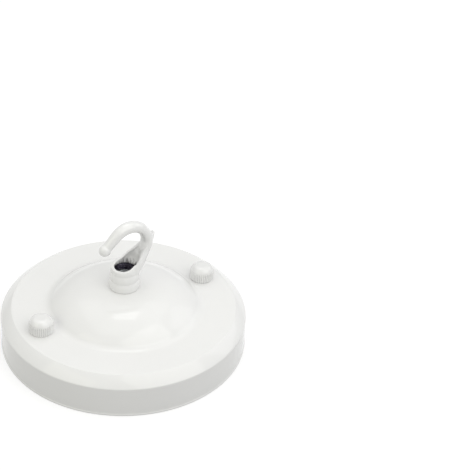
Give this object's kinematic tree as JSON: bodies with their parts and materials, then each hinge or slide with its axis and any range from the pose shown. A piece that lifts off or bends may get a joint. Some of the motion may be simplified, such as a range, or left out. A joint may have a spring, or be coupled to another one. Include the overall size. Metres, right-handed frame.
{
  "type": "ceiling hook",
  "caption": "Round pressed metal ceiling cover with a cast hook on its crown, held over a hidden ceiling bracket by knurled thumb nuts on threaded studs.",
  "frame": {"origin": "centre of the cover's rim, on the ceiling plane", "axes": "+Z away from the ceiling, along the cover's axis and the hook's collar; X through both thumb nuts, +X on the side of the hook's back"},
  "size_m": [0.1086, 0.1086, 0.0598],
  "materials": {
    "white_gloss_paint": "smooth white gloss paint",
    "brass": "bright yellow, rolled thread",
    "zinc_plate": "bright zinc plate"
  },
  "bodies": {
    "rose": {"cover": "white_gloss_paint", "hook": "white_gloss_paint", "hollow_nipple": "zinc_plate", "nipple_washer": "zinc_plate", "nipple_nut": "zinc_plate", "ceiling_bracket": "zinc_plate", "stud_screw_left": "brass", "stud_screw_right": "brass", "stud_lock_nut_left": "zinc_plate", "stud_lock_nut_right": "zinc_plate"},
    "thumb_nut_left": {"thumb_nut_left": "white_gloss_paint"},
    "thumb_nut_right": {"thumb_nut_right": "white_gloss_paint"}
  },
  "joints": [
    {"name": "thumb_nut_left_screw", "type": "slide", "parent": "rose", "child": "thumb_nut_left", "axis": [0, 0, 1], "range_m": [0, 0.004]},
    {"name": "thumb_nut_right_screw", "type": "slide", "parent": "rose", "child": "thumb_nut_right", "axis": [0, 0, 1], "range_m": [0, 0.004]}
  ]
}
